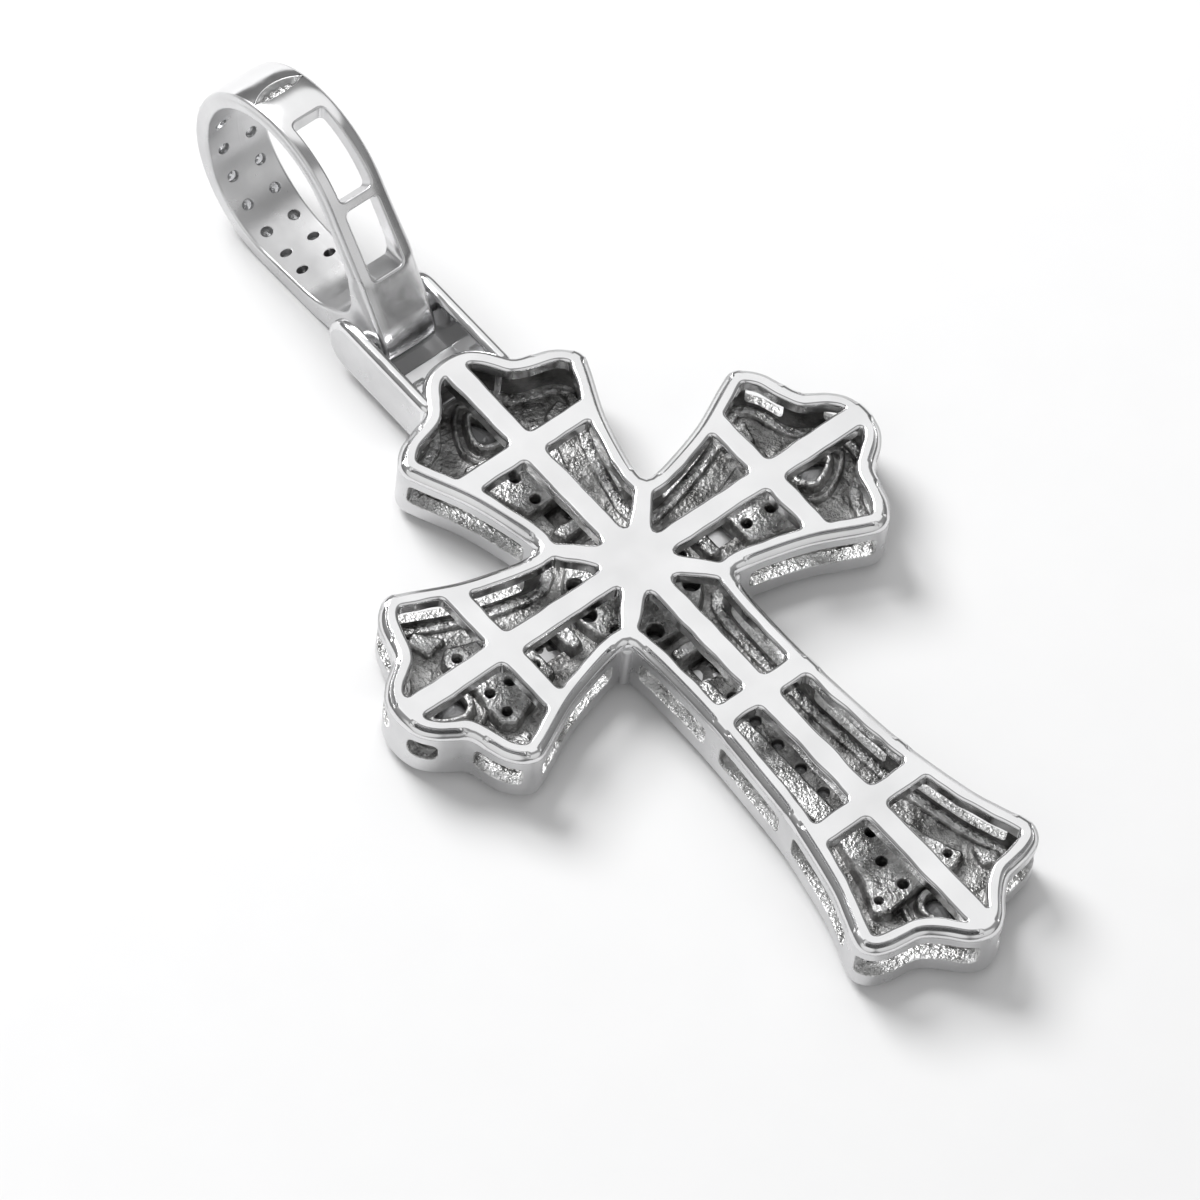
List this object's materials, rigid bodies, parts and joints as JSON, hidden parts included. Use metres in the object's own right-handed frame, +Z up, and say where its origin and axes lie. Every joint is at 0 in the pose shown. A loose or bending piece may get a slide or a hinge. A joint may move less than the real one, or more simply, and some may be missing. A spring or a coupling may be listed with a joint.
{
  "type": "cross pendant",
  "caption": "Cross pendant set with small stones, lying face down, with an open back frame, pierced side walls and a loop bail that swings on a hinge pin.",
  "frame": {"origin": "centre of the bounding box at the surface that the pendant rests on face down", "axes": "+Z up out of the open back, +Y from the foot of the cross to the bail, +X across the short arms"},
  "size_m": [0.03, 0.059, 0.0118],
  "materials": {
    "white_gold": "polished white gold outside, rough as cast inside the hollow",
    "stone": "clear cut stones"
  },
  "bodies": {
    "cross": {"cross_body": "white_gold", "hinge_pin": "white_gold", "centre_stone": "stone", "halo_stone_1": "stone", "halo_stone_2": "stone", "halo_stone_3": "stone", "halo_stone_4": "stone", "halo_stone_5": "stone", "halo_stone_6": "stone", "halo_stone_7": "stone", "halo_stone_8": "stone", "halo_stone_9": "stone", "halo_stone_10": "stone", "pear_stone_right": "stone", "pear_stone_top": "stone", "pear_stone_left": "stone", "pear_stone_foot": "stone", "arm_stones": "stone", "border_stones": "stone"},
    "bail": {"bail": "white_gold", "bail_stones": "stone"}
  },
  "joints": [
    {"name": "bail_hinge", "type": "hinge", "parent": "cross", "child": "bail", "pos_m": [0, 0.01587, 0.0022], "axis": [1, 0, 0], "range_deg": [-93, 65]}
  ]
}
